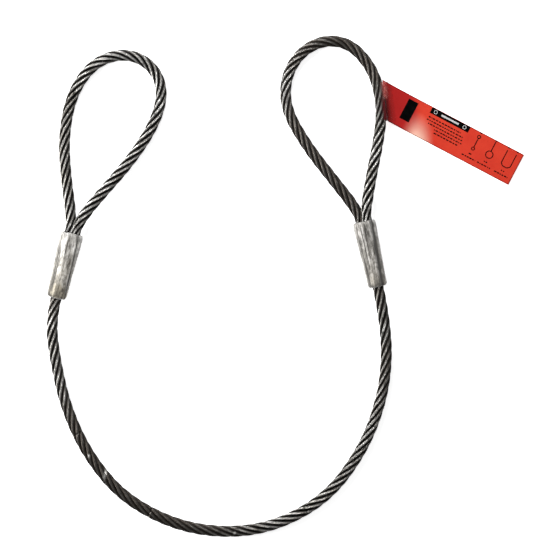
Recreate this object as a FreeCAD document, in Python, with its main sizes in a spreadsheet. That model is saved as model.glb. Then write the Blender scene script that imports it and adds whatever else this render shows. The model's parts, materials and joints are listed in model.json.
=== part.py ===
"""Wire rope sling with two pressed eyes and a rating tag, lying flat.

The rope is one rope on the real sling. Here it is divided into stretches where it bends, and every
stretch is two pieces, as a rope is: the layer of six outer strands, and the steel core that they are
laid round. Millimetres, +Z up, +Y towards the eyes, the origin at the middle of the base.
"""
import FreeCAD, Part
import math
import os

import Sketcher

Vector = FreeCAD.Vector
UP = Vector(0, 0, 1)

doc = FreeCAD.newDocument("wire_rope_sling")

# ---------------------------------------------------------------- driving dimensions

SIZES = {
    "rope_diameter": 9.5,
    "core_diameter": 3.2,
    "core_clearance": 0.1,
    "sleeve_length": 55.5,
    "sleeve_eye_end_diameter": 19.4,
    "sleeve_rope_end_diameter": 16.2,
    "sleeve_edge_radius": 1.6,
    "sleeve_fit": 0.1,
    "flash_width": 1.4,
    "flash_height": 0.35,
    "flash_roll": 38,
    "left_sleeve_turn": 14,
    "right_sleeve_turn": -12.3,
    "tail_diameter": 2.5,
    "tail_length": 42,
    "tail_count": 6,
    "tag_width": 28.3,
    "tag_length": 128,
    "tag_turn": -27.8,
    "tag_thickness": 0.5,
    "tag_start": 9.2,
    "tag_corner": 13.1,
    "tag_landing": 36,
    "tag_loop_radius": 6.1,
    "tag_loop_top": 14,
    "tag_loop_length": 32,
    "tag_loop_inset": 0.75,
    "film_thickness": 0.3,
}

sheet = doc.addObject("Spreadsheet::Sheet", "Sizes")
for row, (alias, number) in enumerate(SIZES.items(), start=1):
    sheet.set(f"A{row}", alias)
    sheet.set(f"B{row}", str(number))
    sheet.setAlias(f"B{row}", alias)
doc.recompute()


def size(alias):
    """A driving dimension, read back from the sheet."""
    return float(sheet.get(alias))


# ---------------------------------------------------------------- the rope's route

ROPE_Z = size("rope_diameter") / 2
SLEEVE_Z = size("sleeve_eye_end_diameter") / 2
LEG_OFFSET = 3.4
LOW_LEG_Z = SLEEVE_Z - LEG_OFFSET
HIGH_LEG_Z = SLEEVE_Z + LEG_OFFSET
TAG_Z = 6.8

# from the left sleeve, round the hanging bight, to the right sleeve
BODY_ROUTE = [
    (-190, -11, SLEEVE_Z),
    (-194.4, -28.65, SLEEVE_Z),
    (-191.5, -60, 5.8),
    (-182, -103, ROPE_Z),
    (-163, -143, ROPE_Z),
    (-134, -177, ROPE_Z),
    (-90, -200, ROPE_Z),
    (-44, -206, ROPE_Z),
    (-3, -198, ROPE_Z),
    (36, -175, ROPE_Z),
    (64, -137, ROPE_Z),
    (79.5, -97, ROPE_Z),
    (84.5, -60, 5.8),
    (81.3, -23.1, SLEEVE_Z),
    (76.6, -1.6, SLEEVE_Z),
]

# from the sleeve's mouth up the left leg, over the top and down the right leg
LEFT_EYE_ROUTE = [
    (-179.9, 43.9, LOW_LEG_Z),
    (-178.2, 50.7, LOW_LEG_Z),
    (-178.4, 63, 6.2),
    (-182, 88, 5.6),
    (-184.3, 122, 4.9),
    (-178, 157, ROPE_Z),
    (-161, 183, ROPE_Z),
    (-137, 192.5, ROPE_Z),
    (-115.5, 186.5, ROPE_Z),
    (-103, 169, ROPE_Z),
    (-103.5, 148, 4.9),
    (-113.5, 125, 5.4),
    (-131, 100, 7),
    (-152, 76, 9.7),
    (-166, 59, 12.6),
    (-171.5, 49.1, HIGH_LEG_Z),
    (-173.2, 42.3, HIGH_LEG_Z),
]

RIGHT_EYE_ROUTE = [
    (61.5, 52.2, LOW_LEG_Z),
    (60, 58.9, LOW_LEG_Z),
    (54.5, 68.5, 6.2),
    (41, 85.5, 5.8),
    (17.5, 115.5, 5),
    (0, 146, ROPE_Z),
    (0, 172, ROPE_Z),
    (12, 193, ROPE_Z),
    (32, 203.5, ROPE_Z),
    (53, 200.5, ROPE_Z),
    (68.5, 184.5, 5.6),
    (76.8, 166, TAG_Z),
    (80, 141.5, TAG_Z),
    (76.5, 117, 7.4),
    (71.5, 92, 9.8),
    (67.8, 72, 12.2),
    (66.7, 60.3, HIGH_LEG_Z),
    (68.2, 53.6, HIGH_LEG_Z),
]

# each stretch runs from the middle of one run to the middle of another; None is the route's end
BODY_STRETCHES = {
    "left_neck": (None, 2),
    "left_leg": (2, 3),
    "left_knee": (3, 5),
    "bight": (5, 8),
    "right_knee": (8, 10),
    "right_leg": (10, 11),
    "right_neck": (11, None),
}
THROAT_RUN = 2
TAG_RUN = 11
ARC_SHARE = 0.45


def middle_of_run(points, run):
    return (points[run] + points[run + 1]) / 2


def tube_path(route, first_run, last_run):
    """Straight runs joined by tangent arcs, between the middles of two runs of a route."""
    points = [Vector(*point) for point in route]
    first = 0 if first_run is None else first_run
    last = len(points) - 2 if last_run is None else last_run
    start = points[0] if first_run is None else middle_of_run(points, first)
    end = points[-1] if last_run is None else middle_of_run(points, last)
    edges, radii = [], []
    for index in range(first + 1, last + 1):
        corner = points[index]
        arriving = corner - points[index - 1]
        leaving = points[index + 1] - corner
        turn = arriving.getAngle(leaving)
        setback = ARC_SHARE * min(arriving.Length, leaving.Length)
        radius = setback / math.tan(turn / 2)
        arriving.normalize()
        leaving.normalize()
        entry = corner - arriving * setback
        exit_ = corner + leaving * setback
        inward = (leaving - arriving).normalize()
        apex = corner + inward * (radius / math.cos(turn / 2) - radius)
        edges.append(Part.LineSegment(start, entry).toShape())
        edges.append(Part.Arc(entry, apex, exit_).toShape())
        radii.append(radius)
        start = exit_
    edges.append(Part.LineSegment(start, end).toShape())
    return Part.Wire(edges), radii


# ---------------------------------------------------------------- building helpers

nodes = {}


def keep(feature, name):
    """Names a finished sub-part, so that it is checked and written out."""
    feature.Label = name
    nodes[name] = feature
    return feature


def rod(name, path, radius):
    """A round bar along a path, with its radius bound to the sheet."""
    start = path.Shape.Edges[0]
    tangent = start.tangentAt(start.FirstParameter)
    section = doc.addObject("Part::Circle", f"{name}_section")
    section.setExpression("Radius", radius)
    section.Placement = FreeCAD.Placement(
        start.valueAt(start.FirstParameter), FreeCAD.Rotation(UP, tangent)
    )
    sweep = doc.addObject("Part::Sweep", name)
    sweep.Sections = [section]
    sweep.Spine = (path, [f"Edge{n + 1}" for n in range(len(path.Shape.Edges))])
    sweep.Solid = True
    return sweep


def ring(name, outer, inner):
    cut = doc.addObject("Part::Cut", name)
    cut.Base = outer
    cut.Tool = inner
    return cut


def rope_stretch(name, route, first_run, last_run):
    """The strand layer and the core of one stretch of rope."""
    wire, radii = tube_path(route, first_run, last_run)
    path = doc.addObject("Part::Feature", f"{name}_path")
    path.Shape = wire
    outside = rod(f"{name}_outside", path, "Sizes.rope_diameter / 2")
    bore = rod(f"{name}_bore", path, "Sizes.core_diameter / 2 + Sizes.core_clearance")
    strands = ring(f"{name}_strands", outside, bore)
    core = rod(f"{name}_core", path, "Sizes.core_diameter / 2")
    print(f"{name}: length {wire.Length:.1f} mm, radii", [round(radius) for radius in radii])
    lengths[name] = wire.Length
    return strands, core


def gather(name, features):
    group = doc.addObject("Part::Compound", name)
    group.Links = features
    return group


lengths = {}

# ---------------------------------------------------------------- the rope between the sleeves

for stretch, (first_run, last_run) in BODY_STRETCHES.items():
    strands, core = rope_stretch(stretch, BODY_ROUTE, first_run, last_run)
    keep(strands, f"{stretch}_strands")
    keep(core, f"{stretch}_core")

# ---------------------------------------------------------------- the eyes

for side, route in (("left", LEFT_EYE_ROUTE), ("right", RIGHT_EYE_ROUTE)):
    last_throat_run = len(route) - 2 - THROAT_RUN
    strands, core = rope_stretch(f"{side}_eye_loop", route, THROAT_RUN, last_throat_run)
    keep(strands, f"{side}_eye_loop_strands")
    keep(core, f"{side}_eye_loop_core")
    low_strands, low_core = rope_stretch(f"{side}_throat_low_leg", route, None, THROAT_RUN)
    high_strands, high_core = rope_stretch(f"{side}_throat_high_leg", route, last_throat_run, None)
    keep(gather(f"{side}_throat_s", [low_strands, high_strands]), f"{side}_eye_throat_strands")
    keep(gather(f"{side}_throat_c", [low_core, high_core]), f"{side}_eye_throat_core")


# ---------------------------------------------------------------- the pressed sleeves


def origin_plane(body, role):
    return next(item for item in body.Origin.OriginFeatures if item.Role == role)


def profile(body, name, corners):
    """A closed outline on the body's XZ plane, each corner's place bound to the sheet."""
    sketch = body.newObject("Sketcher::SketchObject", name)
    sketch.AttachmentSupport = [(origin_plane(body, "XZ_Plane"), "")]
    sketch.MapMode = "FlatFace"
    places = [[float(sketch.evalExpression(text)) for text in corner] for corner in corners]
    count = len(corners)
    for index in range(count):
        start = Vector(*places[index], 0)
        end = Vector(*places[(index + 1) % count], 0)
        sketch.addGeometry(Part.LineSegment(start, end), False)
    for index in range(count):
        following = (index + 1) % count
        sketch.addConstraint(Sketcher.Constraint("Coincident", index, 2, following, 1))
    for index, corner in enumerate(corners):
        for kind, text, number in zip(("DistanceX", "DistanceY"), corner, places[index]):
            title = f"{kind}_{index}"
            constraint = Sketcher.Constraint(kind, -1, 1, index, 1, number)
            sketch.setExpression(f"Constraints[{sketch.addConstraint(constraint)}]", text)
            sketch.renameConstraint(sketch.ConstraintCount - 1, title)
    return sketch


def revolved(body, kind, name, sketch):
    feature = body.newObject(kind, name)
    feature.Profile = sketch
    feature.ReferenceAxis = (sketch, ["V_Axis"])
    feature.Angle = 360
    return feature


def sleeve(name, placement):
    """A tapered tube pressed on the splice, with a flash ridge along each side.

    Its own Z axis runs from the end that the rope leaves to the end that the eye leaves.
    """
    body = doc.addObject("PartDesign::Body", name)
    rope_end = "Sizes.sleeve_rope_end_diameter / 2"
    eye_end = "Sizes.sleeve_eye_end_diameter / 2"
    top = "Sizes.sleeve_length"
    shell = profile(
        body,
        f"{name}_outline",
        [("0", "0"), (rope_end, "0"), (eye_end, top), ("0", top)],
    )
    barrel = revolved(body, "PartDesign::Revolution", f"{name}_barrel", shell)
    doc.recompute()
    ends = [f"Edge{n + 1}" for n, edge in enumerate(barrel.Shape.Edges) if is_round(edge)]
    edge = body.newObject("PartDesign::Fillet", f"{name}_edges")
    edge.Base = (barrel, ends)
    edge.setExpression("Radius", "Sizes.sleeve_edge_radius")
    plate = profile(
        body,
        f"{name}_flash_outline",
        [
            ("0", "Sizes.sleeve_edge_radius"),
            (f"{rope_end} + Sizes.flash_height", "Sizes.sleeve_edge_radius"),
            (f"{eye_end} + Sizes.flash_height", f"{top} - Sizes.sleeve_edge_radius"),
            ("0", f"{top} - Sizes.sleeve_edge_radius"),
        ],
    )
    flash = body.newObject("PartDesign::Pad", f"{name}_flash")
    flash.Profile = plate
    flash.Midplane = True
    flash.setExpression("Length", "Sizes.flash_width")
    doc.recompute()
    other = body.newObject("PartDesign::Mirrored", f"{name}_other_flash")
    other.Originals = [flash]
    other.MirrorPlane = (origin_plane(body, "YZ_Plane"), [""])
    body.Tip = other
    doc.recompute()
    rope_hole = "Sizes.rope_diameter / 2"
    tail_hole = "Sizes.rope_diameter / 2 + Sizes.tail_diameter + Sizes.sleeve_fit"
    step = "Sizes.sleeve_length - Sizes.tail_length - Sizes.sleeve_fit"
    hole = profile(
        body,
        f"{name}_bore_outline",
        [("0", "0"), (rope_hole, "0"), (rope_hole, step), (tail_hole, step), (tail_hole, top), ("0", top)],
    )
    bore = revolved(body, "PartDesign::Groove", f"{name}_bore", hole)
    body.Tip = bore
    body.Placement = placement
    return keep(body, name)


def is_round(edge):
    return isinstance(edge.Curve, Part.Circle) and edge.isClosed()


def live_line(side, placement):
    """The rope where it passes through its sleeve, pressed a little smaller than it is outside."""
    pressed = "Sizes.rope_diameter / 2 - Sizes.sleeve_fit"
    radii = {
        "outside": pressed,
        "bore": "Sizes.core_diameter / 2 + Sizes.core_clearance",
        "core": "Sizes.core_diameter / 2",
    }
    bars = {}
    for use, radius in radii.items():
        bars[use] = doc.addObject("Part::Cylinder", f"{side}_live_line_{use}")
        bars[use].setExpression("Radius", radius)
        bars[use].setExpression("Height", "Sizes.sleeve_length")
    strands = ring(f"{side}_live_line_ring", bars["outside"], bars["bore"])
    strands.Placement = placement
    bars["core"].Placement = placement
    keep(strands, f"{side}_live_line_strands")
    keep(bars["core"], f"{side}_live_line_core")


def splice_tails(side, placement):
    """The six strand ends that come back from the eye and lie round the live line."""
    radius = size("rope_diameter") / 2 + size("tail_diameter") / 2
    tails = []
    strand_count = int(size("tail_count"))
    for strand in range(strand_count):
        tail = doc.addObject("Part::Cylinder", f"{side}_tail_{strand + 1}")
        tail.setExpression("Radius", "Sizes.tail_diameter / 2 - Sizes.sleeve_fit / 2")
        tail.setExpression("Height", "Sizes.tail_length")
        angle = 2 * math.pi * strand / strand_count
        foot = size("sleeve_length") - size("tail_length")
        tail.Placement.Base = Vector(radius * math.cos(angle), radius * math.sin(angle), foot)
        tails.append(tail)
    group = gather(f"{side}_tails", tails)
    group.Placement = placement
    keep(group, f"{side}_splice_tails")


for side, mouth in (("left", BODY_ROUTE[0]), ("right", BODY_ROUTE[-1])):
    turn = math.radians(size(f"{side}_sleeve_turn"))
    roll = math.radians(size("flash_roll"))
    axis = Vector(math.sin(turn), math.cos(turn), 0)
    across = Vector(math.cos(turn), -math.sin(turn), 0)
    ridge = across * math.cos(roll) + UP * math.sin(roll)
    standing = FreeCAD.Rotation(ridge, Vector(), axis, "ZXY")
    at_mouth = FreeCAD.Placement(Vector(*mouth) + axis * size("sleeve_fit"), standing)
    sleeve(f"{side}_sleeve", at_mouth)
    live_line(side, at_mouth)
    splice_tails(side, at_mouth)

# ---------------------------------------------------------------- the tag

# the tag's own frame: X away from the rope, Y along the rope, Z up, on the loop's axis
eye_points = [Vector(*point) for point in RIGHT_EYE_ROUTE]
rope_along = (eye_points[TAG_RUN] - eye_points[TAG_RUN + 1]).normalize()
rope_away = rope_along.cross(UP).normalize()
loop_middle = middle_of_run(eye_points, TAG_RUN) - rope_away * size("tag_loop_inset")
tag_place = FreeCAD.Placement(loop_middle, FreeCAD.Rotation(rope_away, rope_along, UP, "ZXY"))
tag_direction = math.radians(size("tag_turn"))
tag_along = Vector(math.cos(tag_direction), math.sin(tag_direction), 0)
tag_along = tag_place.Rotation.inverted().multVec(tag_along)


def sheet_outline():
    """The tag seen from above: a strip whose near end is cut along the rope."""
    start = size("tag_start")
    across = tag_along.cross(UP)
    near_top = Vector(start, size("tag_corner"), 0)
    far_top = near_top + tag_along * size("tag_length")
    far_bottom = far_top + across * size("tag_width")
    slant = (far_bottom.x - start) / tag_along.x
    near_bottom = far_bottom - tag_along * slant
    return [near_top, far_top, far_bottom, near_bottom]


def sheet_height(x):
    """How far the tag's underside is below the loop's axis: it curves down and lands on the floor."""
    left_to_fall = max(0, 1 - x / size("tag_landing"))
    return -loop_middle.z * (1 - left_to_fall**2)


def sheet_profile():
    """The tag seen along the rope, as a closed outline."""
    start = size("tag_start")
    landing = size("tag_landing")
    steps = 6
    places = [start + (landing - start) * step / steps for step in range(steps + 1)]
    places.append(size("tag_length"))
    low = [Vector(x, 0, sheet_height(x)) for x in places]
    thick = UP * size("tag_thickness")
    return low + [corner + thick for corner in reversed(low)]


def prism(name, corners, direction):
    """A solid that stands both ways from an outline."""
    moved = [corner - direction / 2 for corner in corners]
    face = Part.Face(Part.makePolygon(moved + moved[:1]))
    solid = doc.addObject("Part::Feature", name)
    solid.Shape = face.extrude(direction)
    return solid


def tag_panel():
    """The printed and laminated strip."""
    panel = doc.addObject("Part::Common", "tag_panel_shape")
    panel.Base = prism("tag_sheet", sheet_profile(), Vector(0, 2 * size("tag_length"), 0))
    panel.Tool = prism("tag_outline", sheet_outline(), UP * size("tag_length"))
    panel.Placement = tag_place
    return keep(panel, "tag_panel")


def closed_loop(radius, tip, half_height):
    """A round loop drawn out to a blunt tip, as a face across the rope."""
    lean = math.atan2(tip.z, tip.x)
    open_angle = math.acos(radius / tip.Length)

    def on_loop(angle):
        return Vector(radius * math.cos(angle), 0, radius * math.sin(angle))

    start = on_loop(lean + open_angle)
    end = on_loop(lean - open_angle)
    top = tip + UP * half_height
    bottom = tip - UP * half_height
    edges = [
        Part.Arc(start, on_loop(lean + math.pi), end).toShape(),
        Part.LineSegment(end, bottom).toShape(),
        Part.LineSegment(bottom, top).toShape(),
        Part.LineSegment(top, start).toShape(),
    ]
    return Part.Face(Part.Wire(edges))


def tag_clear_tail():
    """The clear end of the tag: a loose loop round the rope that closes on the printed strip."""
    film = size("film_thickness")
    inner = size("tag_loop_radius")
    middle = sheet_height(size("tag_start")) + size("tag_thickness") / 2
    tip = Vector(size("tag_start"), 0, middle)
    crease = tip - Vector(2 * film, 0, 0)
    section = closed_loop(inner + film, tip, film + size("tag_thickness") / 2)
    section = section.cut(closed_loop(inner, crease, film / 2))
    top = size("tag_loop_top")
    section.translate(Vector(0, top - size("tag_loop_length"), 0))
    loop = doc.addObject("Part::Feature", "tag_loop")
    loop.Shape = section.extrude(Vector(0, size("tag_loop_length"), 0)).Solids[0]
    loop.Placement = tag_place
    return keep(loop, "tag_clear_tail")


tag_panel()
tag_clear_tail()

# ---------------------------------------------------------------- checks and files

doc.recompute()

for feature in doc.Objects:
    bad = {"Invalid", "Error"} & set(feature.State)
    assert not bad, f"{feature.Name} is {bad}"

rope_section = math.pi * ROPE_Z**2
bore_section = math.pi * (size("core_diameter") / 2 + size("core_clearance")) ** 2
for name, feature in nodes.items():
    shape = feature.Shape
    assert not shape.isNull() and shape.isValid() and shape.Solids, f"{name} has no sound solid"
    stretch = name.removesuffix("_strands")
    if stretch in lengths:
        expected = lengths[stretch] * (rope_section - bore_section)
        assert abs(shape.Volume / expected - 1) < 0.01, f"{name} has the wrong volume"

box = FreeCAD.BoundBox()
for feature in nodes.values():
    box.add(feature.Shape.optimalBoundingBox(True, False))
print("box", box, "middle", box.Center)
print("rope length outside the sleeves", round(sum(lengths.values()), 1), "mm")
print("tag loop middle", loop_middle, "axis", rope_along)

os.makedirs("parts", exist_ok=True)
for name, feature in nodes.items():
    feature.Shape.exportStep(f"parts/{name}.step")
print(len(nodes), "nodes written")
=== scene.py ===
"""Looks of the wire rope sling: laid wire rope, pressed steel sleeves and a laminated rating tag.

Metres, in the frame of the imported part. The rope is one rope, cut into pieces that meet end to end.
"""
import json
import math

import bpy
import numpy as np
from mathutils import Matrix, Vector, noise


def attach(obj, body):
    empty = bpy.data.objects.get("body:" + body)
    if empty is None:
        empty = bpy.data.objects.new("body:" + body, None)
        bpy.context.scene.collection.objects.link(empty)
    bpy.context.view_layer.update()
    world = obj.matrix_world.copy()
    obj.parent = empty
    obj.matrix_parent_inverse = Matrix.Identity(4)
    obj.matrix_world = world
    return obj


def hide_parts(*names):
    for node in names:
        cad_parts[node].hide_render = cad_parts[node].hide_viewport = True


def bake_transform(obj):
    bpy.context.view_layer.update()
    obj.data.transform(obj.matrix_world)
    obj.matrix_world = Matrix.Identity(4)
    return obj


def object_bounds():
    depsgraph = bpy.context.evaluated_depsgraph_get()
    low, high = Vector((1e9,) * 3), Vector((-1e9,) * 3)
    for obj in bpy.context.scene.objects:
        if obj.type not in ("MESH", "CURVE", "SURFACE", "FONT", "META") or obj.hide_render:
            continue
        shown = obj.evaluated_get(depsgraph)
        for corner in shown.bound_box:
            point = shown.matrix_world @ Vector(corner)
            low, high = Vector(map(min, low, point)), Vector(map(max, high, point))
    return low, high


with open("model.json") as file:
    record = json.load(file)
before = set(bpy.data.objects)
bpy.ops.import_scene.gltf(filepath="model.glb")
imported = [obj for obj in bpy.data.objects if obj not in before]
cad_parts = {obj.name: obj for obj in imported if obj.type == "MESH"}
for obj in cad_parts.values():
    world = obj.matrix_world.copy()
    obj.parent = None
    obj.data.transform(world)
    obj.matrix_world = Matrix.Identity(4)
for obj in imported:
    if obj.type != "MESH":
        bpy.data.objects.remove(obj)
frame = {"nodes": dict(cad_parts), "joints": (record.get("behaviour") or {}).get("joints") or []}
cad_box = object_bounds()
joints = {joint["name"]: joint for joint in frame["joints"]}

MM = 0.001
UP = Vector((0, 0, 1))
WHITE = (1, 1, 1, 1)

# ---------------------------------------------------------------- the rope's route, as in part.py

ROPE_RADIUS = 4.75 * MM

# heights of the rope's centre line: on the floor, in a sleeve, where an eye's two legs go in, in the tag
ROPE_Z = 0.00475
SLEEVE_Z = 0.0097
LOW_LEG_Z = 0.0063
HIGH_LEG_Z = 0.0131
TAG_Z = 0.0068

BODY_ROUTE = [
    (-0.1900, -0.0110, SLEEVE_Z),
    (-0.1944, -0.02865, SLEEVE_Z),
    (-0.1915, -0.0600, 0.0058),
    (-0.1820, -0.1030, ROPE_Z),
    (-0.1630, -0.1430, ROPE_Z),
    (-0.1340, -0.1770, ROPE_Z),
    (-0.0900, -0.2000, ROPE_Z),
    (-0.0440, -0.2060, ROPE_Z),
    (-0.0030, -0.1980, ROPE_Z),
    (0.0360, -0.1750, ROPE_Z),
    (0.0640, -0.1370, ROPE_Z),
    (0.0795, -0.0970, ROPE_Z),
    (0.0845, -0.0600, 0.0058),
    (0.0813, -0.0231, SLEEVE_Z),
    (0.0766, -0.0016, SLEEVE_Z),
]

EYE_ROUTES = {
    "left": [
        (-0.1799, 0.0439, LOW_LEG_Z),
        (-0.1782, 0.0507, LOW_LEG_Z),
        (-0.1784, 0.0630, 0.0062),
        (-0.1820, 0.0880, 0.0056),
        (-0.1843, 0.1220, 0.0049),
        (-0.1780, 0.1570, ROPE_Z),
        (-0.1610, 0.1830, ROPE_Z),
        (-0.1370, 0.1925, ROPE_Z),
        (-0.1155, 0.1865, ROPE_Z),
        (-0.1030, 0.1690, ROPE_Z),
        (-0.1035, 0.1480, 0.0049),
        (-0.1135, 0.1250, 0.0054),
        (-0.1310, 0.1000, 0.0070),
        (-0.1520, 0.0760, 0.0097),
        (-0.1660, 0.0590, 0.0126),
        (-0.1715, 0.0491, HIGH_LEG_Z),
        (-0.1732, 0.0423, HIGH_LEG_Z),
    ],
    "right": [
        (0.0615, 0.0522, LOW_LEG_Z),
        (0.0600, 0.0589, LOW_LEG_Z),
        (0.0545, 0.0685, 0.0062),
        (0.0410, 0.0855, 0.0058),
        (0.0175, 0.1155, 0.0050),
        (0.0000, 0.1460, ROPE_Z),
        (0.0000, 0.1720, ROPE_Z),
        (0.0120, 0.1930, ROPE_Z),
        (0.0320, 0.2035, ROPE_Z),
        (0.0530, 0.2005, ROPE_Z),
        (0.0685, 0.1845, 0.0056),
        (0.0768, 0.1660, TAG_Z),
        (0.0800, 0.1415, TAG_Z),
        (0.0765, 0.1170, 0.0074),
        (0.0715, 0.0920, 0.0098),
        (0.0678, 0.0720, 0.0122),
        (0.0667, 0.0603, HIGH_LEG_Z),
        (0.0682, 0.0536, HIGH_LEG_Z),
    ],
}

# the body's pieces: the runs whose middles they start and end at (None is the route's end), and the
# part's stretches that each one stands for
BODY_PIECES = {
    "left_leg": (None, 3, ("left_neck", "left_leg")),
    "left_knee": (3, 5, ("left_knee",)),
    "bight": (5, 8, ("bight",)),
    "right_knee": (8, 10, ("right_knee",)),
    "right_leg": (10, None, ("right_leg", "right_neck")),
}

# ---------------------------------------------------------------- camera, lights and floor

CAMERA_HEIGHT = 2.6
SENSOR_MM = 36.0
VIEW_SIZE = 0.4637
VIEW_OFFSET = Vector((-0.0044, 0.0052, 0))
FLOOR_REACH = 30.0
WORLD_LIGHT = 0.30

# square lights that look at the middle of the sling: name: (place, width, length, watts)
SOFTBOXES = {
    "key": ((-0.8, 0.8, 1.2), 0.4, 0.4, 25),
    "side_card": ((-0.85, -0.05, 0.32), 0.3, 0.5, 9.0),
    "top_card": ((-0.1, 0.6, 0.5), 0.15, 0.15, 1.8),
}


def camera():
    """Straight overhead, with a long lens, and the sling a little low and to the right of the middle."""
    low, high = (Vector(corner) for corner in cad_box)
    middle = (low + high) / 2
    data = bpy.data.cameras.new("camera")
    data.sensor_width = SENSOR_MM
    data.lens = SENSOR_MM * (CAMERA_HEIGHT - middle.z) / VIEW_SIZE
    data.clip_end = 2 * FLOOR_REACH
    made = bpy.data.objects.new("camera", data)
    made.location = middle + VIEW_OFFSET + UP * (CAMERA_HEIGHT - middle.z)
    bpy.context.scene.collection.objects.link(made)
    bpy.context.scene.camera = made


def softbox(name, place, width, length, watts):
    data = bpy.data.lights.new(name, "AREA")
    data.shape = "RECTANGLE"
    data.size = width
    data.size_y = length
    data.energy = watts
    made = bpy.data.objects.new(name, data)
    made.location = place
    made.rotation_euler = Vector(place).to_track_quat("Z", "Y").to_euler()
    made.visible_camera = False
    bpy.context.scene.collection.objects.link(made)


def studio():
    """A pale even surround and the soft lights."""
    scene = bpy.context.scene
    scene.view_settings.view_transform = "Standard"
    world = bpy.data.worlds.new("studio")
    world.use_nodes = True
    background = world.node_tree.nodes["Background"]
    background.inputs["Color"].default_value = WHITE
    background.inputs["Strength"].default_value = WORLD_LIGHT
    scene.world = world
    for name, settings in SOFTBOXES.items():
        softbox(name, *settings)


def floor():
    """A wide plain floor, which glossy rays don't see."""
    mesh = bpy.data.meshes.new("floor")
    corners = [(-1, -1), (1, -1), (1, 1), (-1, 1)]
    mesh.from_pydata([(x * FLOOR_REACH, y * FLOOR_REACH, 0) for x, y in corners], [], [(0, 1, 2, 3)])
    made = bpy.data.objects.new("floor", mesh)
    bpy.context.scene.collection.objects.link(made)
    mesh.materials.append(floor_material())
    made.visible_glossy = False


# ---------------------------------------------------------------- building materials

# the Mix node's colour sockets
MIX_SHARE = 0
MIX_FIRST = 6
MIX_SECOND = 7
MIX_RESULT = 2


def new_material(name, **sockets):
    """A material, its node tree and its Principled shader, with plain values set on the shader."""
    made = bpy.data.materials.new(name)
    made.use_nodes = True
    shader = made.node_tree.nodes["Principled BSDF"]
    for socket, value in sockets.items():
        shader.inputs[socket.replace("_", " ")].default_value = value
    return made, made.node_tree, shader


def add(tree, kind, inputs, **settings):
    """A node with its settings, its inputs given as values or as other nodes' outputs."""
    node = tree.nodes.new(kind)
    for setting, value in settings.items():
        setattr(node, setting, value)
    for socket, value in inputs.items():
        if isinstance(value, bpy.types.NodeSocket):
            tree.links.new(value, node.inputs[socket])
        else:
            node.inputs[socket].default_value = value
    return node


def ramp(tree, factor, stops):
    """A colour ramp from {position: colour}, with a grey given as one number."""
    node = add(tree, "ShaderNodeValToRGB", {"Fac": factor})
    elements = node.color_ramp.elements
    while len(elements) < len(stops):
        elements.new(0.5)
    for element, (position, colour) in zip(elements, sorted(stops.items())):
        element.position = position
        element.color = (*colour, 1) if isinstance(colour, tuple) else (colour, colour, colour, 1)
    return node.outputs["Color"]


def mixed(tree, blend, first, second, share):
    inputs = {MIX_SHARE: share, MIX_FIRST: first, MIX_SECOND: second}
    node = add(tree, "ShaderNodeMix", inputs, data_type="RGBA", blend_type=blend)
    return node.outputs[MIX_RESULT]


def darkened(tree, colour, by, share=1.0):
    """A colour multiplied by another, wholly or for a share."""
    return mixed(tree, "MULTIPLY", colour, by, share)


def covered(tree, colour, cover, share):
    """A colour with another laid over it, as far as share goes from 0 to 1."""
    return mixed(tree, "MIX", colour, cover, share)


def speckle(tree, scale, detail=4, roughness=0.6, squeeze=(1, 1, 1)):
    """Noise in the object's own coordinates, which can be squeezed along its axes."""
    own = add(tree, "ShaderNodeTexCoord", {}).outputs["Object"]
    vector = add(tree, "ShaderNodeMapping", {"Vector": own, "Scale": squeeze}).outputs["Vector"]
    inputs = {"Vector": vector, "Scale": scale, "Detail": detail, "Roughness": roughness}
    return add(tree, "ShaderNodeTexNoise", inputs).outputs["Fac"]


def attribute(tree, name):
    """A number that the mesh has at each of its points."""
    return add(tree, "ShaderNodeAttribute", {}, attribute_name=name).outputs["Fac"]


def bump(tree, shader, height, strength, distance):
    """Makes the surface look uneven."""
    inputs = {"Height": height, "Strength": strength, "Distance": distance}
    node = add(tree, "ShaderNodeBump", inputs)
    tree.links.new(node.outputs["Normal"], shader.inputs["Normal"])


# ---------------------------------------------------------------- the materials

OIL_AND_SHADE_COLOUR = (0.046, 0.039, 0.033, 1)
BARE_STEEL = (0.9, 0.88, 0.84, 1)
SLEEVE_SHADE_TINT = (0.60, 0.58, 0.56, 1)
BROWN_STAIN = (0.45, 0.41, 0.33, 1)
GROOVE_DARK = (0.05, 0.046, 0.04, 1)
SLOPE_SHADE_TINT = (0.72, 0.25, 0.6, 1)
GLARE_TINT = (0.88, 0.53, 0.41, 1)
CLEAR_FILM = (0.02, 0.02, 0.02, 1)
RED_SHADE_SMEAR = (0.12, 0.004, 0.006, 1)


def floor_material():
    """White acrylic, lit a little from below, as product photographers use."""
    made, tree, shader = new_material("pale_floor", Roughness=0.9, Emission_Strength=0.8)
    grain = speckle(tree, scale=30)
    colour = ramp(tree, grain, {0.3: 0.93, 0.7: 0.95})
    tree.links.new(colour, shader.inputs["Base Color"])
    tree.links.new(colour, shader.inputs["Emission Color"])
    return made


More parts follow.
